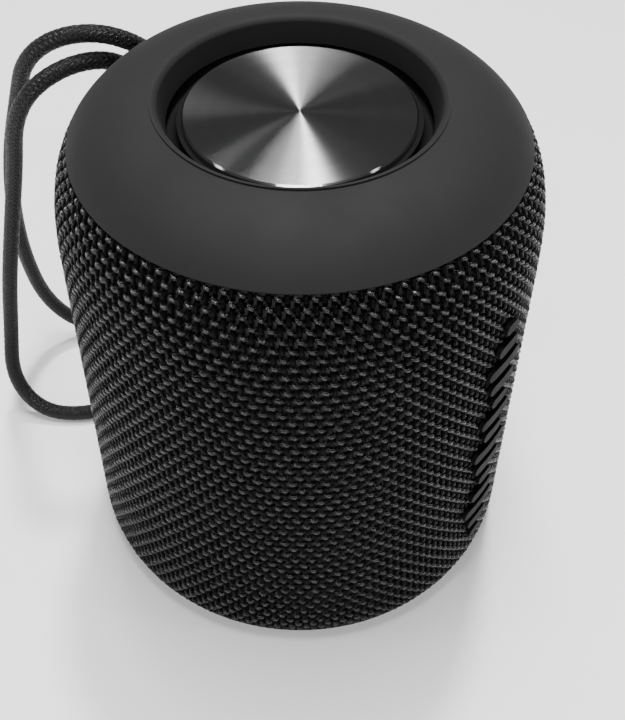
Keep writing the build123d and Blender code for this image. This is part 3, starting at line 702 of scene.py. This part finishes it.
class SPEAKER_OT_base(bpy.types.Operator):
    """Polished base ring, slotted plate and rubber foot"""
    bl_idname = "speaker.base"
    bl_label = "Base"

    INNER_R, FOOT_R, SEAT_R = 38.5 * MM, 39.6 * MM, 40.1 * MM
    SEAT_Z = 2.1 * MM         # the fabric starts above this
    CURVE_STEPS = 8

    def execute(self, context):
        body, finish = context.scene.speaker_body, context.scene.speaker_finish
        bottom, top = low("base_ring")[2], high("base_ring")[2]
        rise, inset = 0.15 * MM, 0.1 * MM
        outline = [(self.INNER_R, bottom), (self.FOOT_R, bottom)]
        for step in range(self.CURVE_STEPS + 1):
            z = bottom + rise + (self.SEAT_Z - bottom - rise) * step / self.CURVE_STEPS
            outline.append((side_radius(body, z) - inset, z))
        outline += [(self.SEAT_R, self.SEAT_Z), (self.SEAT_R, top), (self.INNER_R, top)]
        ring = lathe("base_trim", outline)
        wear(ring, polished("polished_ring", finish.ring))
        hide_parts("base_ring")
        paint("base_plate", moulded("plate_plastic", finish.plastic, 0.55))
        paint("foot_ring", moulded("foot_rubber", finish.rubber, 0.75, grain=1800))
        return {"FINISHED"}


class SPEAKER_OT_badge(bpy.types.Operator):
    """Raised rubber level bars down the front"""
    bl_idname = "speaker.badge"
    bl_label = "Badge"

    def execute(self, context):
        finish = context.scene.speaker_finish
        paint("badge_bars", moulded("badge_rubber", finish.badge, 0.65, grain=2200, gloss=0.1))
        return {"FINISHED"}


class SPEAKER_OT_panel(bpy.types.Operator):
    """Rubber control panel with keys, status lamp, port flap and sockets"""
    bl_idname = "speaker.panel"
    bl_label = "Control panel"

    def execute(self, context):
        finish = context.scene.speaker_finish
        rubber = moulded("panel_rubber", finish.rubber, 0.6, grain=2400)
        keys = moulded("key_rubber", scaled(finish.rubber, 1.8), 0.5, grain=2400)
        paint("control_panel", rubber)
        paint("port_flap", keys)
        for name in ("power", "pairing", "volume_up", "play", "volume_down"):
            paint(f"{name}_button", keys)
        paint("status_led", lamp_plastic("light_pipe"))
        paint("aux_socket", moulded("socket_plastic", (0.03, 0.03, 0.03), 0.35))
        paint("usb_socket", plain_metal("socket_steel", (0.6, 0.6, 0.6)))
        return {"FINISHED"}


class SPEAKER_OT_lanyard(bpy.types.Operator):
    """Braided lanyard, its lug and stopper knots"""
    bl_idname = "speaker.lanyard"
    bl_label = "Lanyard"

    STEP = 0.42 * MM          # distance between points on the line
    KNOT_STEPS, KNOT_HALF = 96, 0.85 * MM
    KNOT_REACH, KNOT_SWING = 1.0 * MM, 0.7 * MM
    CORE_DEPTHS = 1.6         # the core lies this many strand half depths inside the outside
    STRAND_DEPTHS = 1.35      # and the strands' middles this many
    CROSSING = 0.36           # rise and fall at a crossing, in half depths
    ROUTE = [
        (0.009, 0.0462, 0.0765), (0.009, 0.0462, 0.0845), (0.0035, 0.0466, 0.0916),
        (-0.0046, 0.05, 0.0936), (-0.0116, 0.0546, 0.09), (-0.0136, 0.0592, 0.0815),
        (-0.0126, 0.0632, 0.0685), (-0.014, 0.0667, 0.0525), (-0.0165, 0.0692, 0.036),
        (-0.018, 0.071, 0.021), (-0.023, 0.0685, 0.009), (-0.0226, 0.0603, 0.002),
        (-0.017, 0.0512, 0.0018), (-0.008, 0.0462, 0.0018), (0.002, 0.0474, 0.0018),
        (0.0088, 0.0552, 0.0018), (0.0082, 0.0655, 0.0018), (0.0024, 0.073, 0.0052),
        (-0.0022, 0.077, 0.015), (-0.0052, 0.077, 0.031), (-0.0066, 0.0752, 0.048),
        (-0.0063, 0.0718, 0.065), (-0.006, 0.066, 0.0805), (-0.0074, 0.0604, 0.0916),
        (-0.0042, 0.0542, 0.0974), (0.0016, 0.0478, 0.098), (0.008, 0.0436, 0.0934),
        (0.0148, 0.0446, 0.085), (0.0148, 0.0446, 0.0765),
    ]

    def execute(self, context):
        cord = context.scene.speaker_cord
        line = self.centreline()
        core = self.core(line, cord)
        strands = self.strands(line, cord)
        braid = self.join("lanyard_braid", core, strands)
        fibre = yarn("cord_yarn", cord.yarn, filaments=7, twist=0.8, roughness=0.36, gloss=0.28)
        wear(braid, fibre)
        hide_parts("lanyard_cord")
        for index, hole in enumerate((self.ROUTE[0], self.ROUTE[-1])):
            knot = link(self.knot(hole), f"stopper_knot_{index + 1}")
            wear(knot, fibre)
            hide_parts("cord_knots")
        paint("lanyard_lug", moulded("lug_rubber", context.scene.speaker_finish.rubber, 0.5))
        return {"FINISHED"}

    def knot(self, hole):
        """A pulled-tight overhand knot that stops the cord under the lug."""
        low_z, high_z = low("cord_knots")[2], high("cord_knots")[2]
        thick = self.KNOT_HALF
        turn = math.tau * np.arange(self.KNOT_STEPS) / self.KNOT_STEPS
        reach = self.KNOT_REACH + self.KNOT_SWING * np.cos(3 * turn)
        centre = np.array([hole[0], hole[1], (low_z + high_z) / 2])
        points = np.stack([reach * np.cos(2 * turn), reach * np.sin(2 * turn),
                           ((high_z - low_z) / 2 - thick) * np.sin(3 * turn)], -1) + centre
        ahead = np.roll(points, -1, 0) - np.roll(points, 1, 0)
        ahead /= np.linalg.norm(ahead, axis=1)[:, None]
        side = np.cross(ahead, (0, 0, 1))
        side /= np.linalg.norm(side, axis=1)[:, None]
        return sweep_strands("stopper_knot", points[None], side[None], np.cross(ahead, side)[None],
                             thick, thick, 16, True)

    def centreline(self):
        """Points on the lanyard's smooth line."""
        curve = bpy.data.curves.new("lanyard_line", "CURVE")
        curve.dimensions = "3D"
        curve.resolution_u = 24
        spline = curve.splines.new("NURBS")
        spline.points.add(len(self.ROUTE) - 1)
        for point, place in zip(spline.points, self.ROUTE):
            point.co = (*place, 1)
        spline.order_u = 3
        spline.use_endpoint_u = True
        guide = bpy.data.objects.new("lanyard_line", curve)
        mesh = bpy.data.meshes.new_from_object(guide)
        line = np.array([v.co for v in mesh.vertices], float)
        bpy.data.objects.remove(guide)
        bpy.data.meshes.remove(mesh)
        travel = np.concatenate([[0], np.cumsum(np.linalg.norm(np.diff(line, axis=0), axis=1))])
        even = np.linspace(0, travel[-1], int(travel[-1] / self.STEP))
        return np.stack([np.interp(even, travel, line[:, k]) for k in range(3)], -1)

    def frames(self, line):
        """Two directions square to the line that don't twist about it."""
        ahead = np.gradient(line, axis=0)
        ahead /= np.linalg.norm(ahead, axis=1)[:, None]
        side = np.cross(ahead[0], (1, 0, 0))
        sides = []
        for direction in ahead:
            side = side - direction * (side @ direction)
            side = side / np.linalg.norm(side)
            sides.append(side)
        sides = np.array(sides)
        return ahead, sides, np.cross(ahead, sides)

    def core(self, line, cord):
        """Dark core that fills the braid."""
        _, side, rise = self.frames(line)
        inner = cord.diameter / 2 - self.CORE_DEPTHS * cord.half_depth
        return sweep_strands("cord_core", line[None], side[None], rise[None], inner, inner, 12)

    def strands(self, line, cord):
        """Strands that cross over and under each other round the core."""
        ahead, side, rise = self.frames(line)
        gap = np.linalg.norm(np.diff(line, axis=0), axis=1).mean()
        s = np.arange(len(line)) * gap
        spin = math.tau * s / cord.pitch
        middle = cord.diameter / 2 - self.STRAND_DEPTHS * cord.half_depth
        points, across, out = [], [], []
        for way in (-1, 1):
            for strand in range(cord.strands):
                angle = way * spin + math.tau * strand / cord.strands
                lift = way * self.CROSSING * cord.half_depth * np.cos(cord.strands * spin)
                radial = side * np.cos(angle)[:, None] + rise * np.sin(angle)[:, None]
                ring = -side * np.sin(angle)[:, None] + rise * np.cos(angle)[:, None]
                path = line + radial * (middle + lift)[:, None]
                slope = way * math.tau * middle / cord.pitch
                wide = ring - ahead * slope
                wide /= np.linalg.norm(wide, axis=1)[:, None]
                points.append(path)
                across.append(wide)
                out.append(radial)
        return sweep_strands("cord_strands", np.array(points), np.array(across), np.array(out),
                             cord.half_width, cord.half_depth, 6)

    def join(self, name, *meshes):
        """One object from several meshes."""
        edit = bmesh.new()
        for mesh in meshes:
            edit.from_mesh(mesh)
        whole = bpy.data.meshes.new(name)
        edit.to_mesh(whole)
        edit.free()
        for mesh in meshes:
            bpy.data.meshes.remove(mesh)
        whole.polygons.foreach_set("use_smooth", [True] * len(whole.polygons))
        return link(whole, name)


class SPEAKER_OT_surrounds(bpy.types.Operator):
    """Rubber surrounds and cloth spiders of the two radiators and the two drivers"""
    bl_idname = "speaker.surrounds"
    bl_label = "Surrounds"

    # Inner edge, roll from, roll to, outer edge, top or face height and thickness, in millimetres.
    TOP = (15.2, 20.6, 24.4, 27.6, 99.6, 0.8)
    BOTTOM = (11.0, 16.4, 21.0, 25.0, 8.4, 0.8)
    DRIVER = (14.0, 16.0, 19.4, 22.6, 1.9, 0.4)
    # A spider's first radius, its height, distance between folds, fold height and thickness.
    SPIDER = (8.15, -7.6, 1.1, 0.5, 0.35)
    # Radii, in millimetres, at which each leaves the housing and joins the moving body.
    TOP_HELD, BOTTOM_HELD = (24.6, 20.2), (21.2, 15.9)
    DRIVER_HELD, SPIDER_HELD = (19.8, 15.6), (15.8, 8.0)
    DRIVER_X, DRIVER_Z = 31.5, 52

    def execute(self, context):
        # Painted shade: the darker surround colour stands for the shadow in the gap round the disc; the
        # hidden surrounds share it.
        rubber = moulded("surround_rubber_painted_shade", context.scene.speaker_finish.surround, 0.8, grain=2400,
                         gloss=0.12)
        cloth = cloth_paper("spider_cloth", (0.5, 0.34, 0.12))
        rings = (self.TOP, self.BOTTOM, self.DRIVER)
        top, bottom, edge = [[size * MM for size in sizes] for sizes in rings]
        flexing_ring("top_surround", roll_profile(*top, -1),
                     "radiator_surround", rubber)
        flexing_ring("bottom_surround", roll_profile(*bottom, -1),
                     "lower_radiator_surround", rubber)
        first, height, gap, fold, thickness = self.SPIDER
        ripple = [((first + step * gap) * MM, (height + fold * (step % 2)) * MM) for step in range(8)]
        ripple += [(r, h + thickness * MM) for r, h in reversed(ripple)]
        for side, axis, x in (("left", "-X", -self.DRIVER_X), ("right", "X", self.DRIVER_X)):
            centre = (x * MM, 0, self.DRIVER_Z * MM)
            flexing_ring(f"{side}_surround", roll_profile(*edge, 1),
                         f"{side}_driver_surround", rubber,
                         axis, centre)
            flexing_ring(f"{side}_spider", ripple,
                         f"{side}_driver_spider", cloth,
                         axis, centre)
        return {"FINISHED"}


class SPEAKER_OT_inside(bpy.types.Operator):
    """Finishes of the chamber, drivers, boards and cell inside the body"""
    bl_idname = "speaker.inside"
    bl_label = "Inside"

    def execute(self, context):
        finish = context.scene.speaker_finish
        plastic = moulded("inner_plastic", finish.plastic, 0.55)
        rubber = moulded("inner_rubber", finish.rubber, 0.6)
        steel = plain_metal("plated_steel", (0.55, 0.55, 0.56))
        iron = plain_metal("dark_iron", (0.12, 0.12, 0.13), 0.5)
        copper = plain_metal("copper_wire", (0.75, 0.35, 0.18))
        paper = cloth_paper("cone_paper", (0.03, 0.03, 0.032))
        board = moulded("solder_mask", (0.01, 0.12, 0.04), 0.35)
        chips = moulded("chip_plastic", (0.02, 0.02, 0.02), 0.45)
        wrap = polished("cell_wrap", (0.03, 0.12, 0.4))
        finishes = [
            (plastic, ["grille_frame", "chamber_shell", "chamber_lid", "radiator_frame",
                       "lower_radiator_frame", "battery_clips"]),
            (rubber, ["lid_seal"]), (steel, ["radiator_weight", "lid_screws", "base_screws"]),
            (board, ["main_board", "button_board"]), (chips, ["board_parts", "tact_switches"]),
            (wrap, ["battery_cell"]),
        ]
        driver = [
            (plastic, ["basket"]), (rubber, ["gasket"]), (paper, ["cone", "dust_cap"]),
            (copper, ["voice_coil"]), (steel, ["top_plate"]), (iron, ["magnet", "yoke"]),
        ]
        for side in ("left", "right"):
            finishes += [(material, [f"{side}_driver_{part}" for part in parts])
                         for material, parts in driver]
        for material, nodes in finishes:
            for node in nodes:
                paint(node, material)
        return {"FINISHED"}


class SPEAKER_OT_stage(bpy.types.Operator):
    """Pale floor, soft lights and the camera"""
    bl_idname = "speaker.stage"
    bl_label = "Studio"

    HALF_FLOOR = 20
    AIM_Z = 0.08              # the lamps face this height on the axis
    FRAME_WIDTH = 36
    # Brightness of the studio falls between these heights of the view, from and to these values.
    BACKDROP = (("From Min", 0.08), ("From Max", 0.42), ("To Min", 0.85), ("To Max", 0.05))
    SUN = ((0.072, 0.38, 0.92), 2.9, 6.0)     # place, strength, angle in degrees
    # Name, place (right, away, up of the body as the camera sees it), width and height, watts.
    LAMPS = [
        ("fill_light", (-0.080, 0.285, 0.69), (0.150, 0.16), 1.0),
        ("top_light", (-0.02, 0.02, 0.78), (0.16, 0.40), 8.0),
        ("front_light", (0.0, -0.60, 0.62), (0.50, 0.03), 4.0),
        ("streak_light", (-0.16, 0.50, 0.60), (0.018, 0.08), 0.025),
        ("band_light", (-0.16, 0.65, 0.43), (0.08, 0.08), 0.010),
        ("left_light", (-0.85, -0.10, 0.25), (0.10, 0.70), 1.6),
        ("right_light", (0.85, -0.20, 0.25), (0.10, 0.70), 1.8),
    ]

    def execute(self, context):
        stage = context.scene.speaker_stage
        far = self.HALF_FLOOR
        corners = np.array([(-far, -far, 0), (far, -far, 0), (far, far, 0), (-far, far, 0)], float)
        floor = quad_mesh("floor", corners, np.array([[0, 1, 2, 3]]))
        floor = link(floor, "floor")
        paper = Finish("floor_paper", stage.floor, 0.9, specular_ior_level=0.15)
        paper.bump(paper.noise(60, 3), 0.0001, 0.1)
        floor.data.materials.append(paper.material)
        context.scene.world = self.backdrop()
        turn = stage.camera_turn
        self.sun(turn, *self.SUN)
        for name, place, size, power in self.LAMPS:
            self.lamp(name, turn, place, size, power)
        self.camera(context, stage, turn)
        return {"FINISHED"}

    def backdrop(self):
        """A studio that is pale near the horizon and dark overhead."""
        world = bpy.data.worlds.new("studio")
        world.use_nodes = True
        nodes, links = world.node_tree.nodes, world.node_tree.links
        place = nodes.new("ShaderNodeTexCoord")
        split = nodes.new("ShaderNodeSeparateXYZ")
        links.new(place.outputs["Generated"], split.inputs["Vector"])
        rise = nodes.new("ShaderNodeMapRange")
        rise.interpolation_type = "SMOOTHSTEP"
        for socket, value in self.BACKDROP:
            rise.inputs[socket].default_value = value
        links.new(split.outputs["Z"], rise.inputs["Value"])
        links.new(rise.outputs["Result"], nodes["Background"].inputs["Strength"])
        nodes["Background"].inputs["Color"].default_value = (1, 1, 1, 1)
        return world

    def sun(self, turn, place, strength, angle):
        """Key light from (right, away, up) of the body as the camera sees it."""
        light = bpy.data.lights.new("key_sun", "SUN")
        light.energy = strength
        light.angle = math.radians(angle)
        piece = bpy.data.objects.new("key_sun", light)
        bpy.context.scene.collection.objects.link(piece)
        right = Vector((math.cos(turn), math.sin(turn), 0))
        away = Vector((-math.sin(turn), math.cos(turn), 0))
        back = right * place[0] + away * place[1] + Vector((0, 0, place[2]))
        piece.location = back
        piece.rotation_euler = (-back).to_track_quat("-Z", "Y").to_euler()

    def lamp(self, name, turn, place, size, power):
        """A soft rectangular light at (right, away, up) of the body as the camera sees it."""
        light = bpy.data.lights.new(name, "AREA")
        light.shape = "RECTANGLE"
        light.size, light.size_y = size
        light.energy = power
        piece = bpy.data.objects.new(name, light)
        bpy.context.scene.collection.objects.link(piece)
        right = Vector((math.cos(turn), math.sin(turn), 0))
        away = Vector((-math.sin(turn), math.cos(turn), 0))
        aim = Vector((0, 0, self.AIM_Z))
        piece.location = aim + right * place[0] + away * place[1] + Vector((0, 0, place[2]))
        back = (piece.location - aim).normalized()
        wide = (right - back * right.dot(back)).normalized()
        if abs(right.dot(back)) > 0.9:
            wide = (away - back * away.dot(back)).normalized()
        piece.rotation_euler = Matrix((wide, back.cross(wide), back)).transposed().to_euler()

    def camera(self, context, stage, turn):
        """The camera, at its distance from the body's axis and its height."""
        lens = bpy.data.cameras.new("camera")
        lens.lens = stage.lens
        lens.sensor_width = self.FRAME_WIDTH
        lens.sensor_fit = "AUTO"
        lens.shift_x = stage.shift
        lens.clip_start = 0.005
        piece = bpy.data.objects.new("camera", lens)
        context.scene.collection.objects.link(piece)
        piece.location = (stage.camera_distance * math.sin(turn), -stage.camera_distance * math.cos(turn),
                          stage.camera_height)
        piece.rotation_euler = (math.pi / 2 - stage.camera_pitch, 0, turn)
        context.scene.camera = piece


class SPEAKER_PT_panel(bpy.types.Panel):
    """Sidebar list of the speaker's pieces"""
    bl_idname = "SPEAKER_PT_panel"
    bl_label = "Shower speaker"
    bl_space_type = "VIEW_3D"
    bl_region_type = "UI"
    bl_category = "Speaker"

    def draw(self, context):
        layout = self.layout
        for operator in OPERATORS:
            layout.operator(operator.bl_idname)
        for name in GROUPS:
            group = getattr(context.scene, name)
            column = layout.column(align=True)
            for prop in group.bl_rna.properties:
                if not prop.is_readonly and prop.identifier != "name":
                    column.prop(group, prop.identifier)


OPERATORS = [
    SPEAKER_OT_stage, SPEAKER_OT_lanyard, SPEAKER_OT_cap, SPEAKER_OT_disc, SPEAKER_OT_knit,
    SPEAKER_OT_base, SPEAKER_OT_badge, SPEAKER_OT_panel, SPEAKER_OT_surrounds,
    SPEAKER_OT_inside,
]


def register():
    """Registers the classes and the scene's property groups."""
    for group in GROUPS.values():
        bpy.utils.register_class(group)
    for operator in OPERATORS:
        bpy.utils.register_class(operator)
    bpy.utils.register_class(SPEAKER_PT_panel)
    for name, group in GROUPS.items():
        setattr(bpy.types.Scene, name, bpy.props.PointerProperty(type=group))


def unregister():
    """Removes what register added."""
    for name in GROUPS:
        delattr(bpy.types.Scene, name)
    bpy.utils.unregister_class(SPEAKER_PT_panel)
    for operator in reversed(OPERATORS):
        bpy.utils.unregister_class(operator)
    for group in reversed(list(GROUPS.values())):
        bpy.utils.unregister_class(group)


def main():
    """Builds every piece."""
    register()
    for operator in OPERATORS:
        group, name = operator.bl_idname.split(".")
        getattr(getattr(bpy.ops, group), name)()


if __name__ == "__main__":
    main()
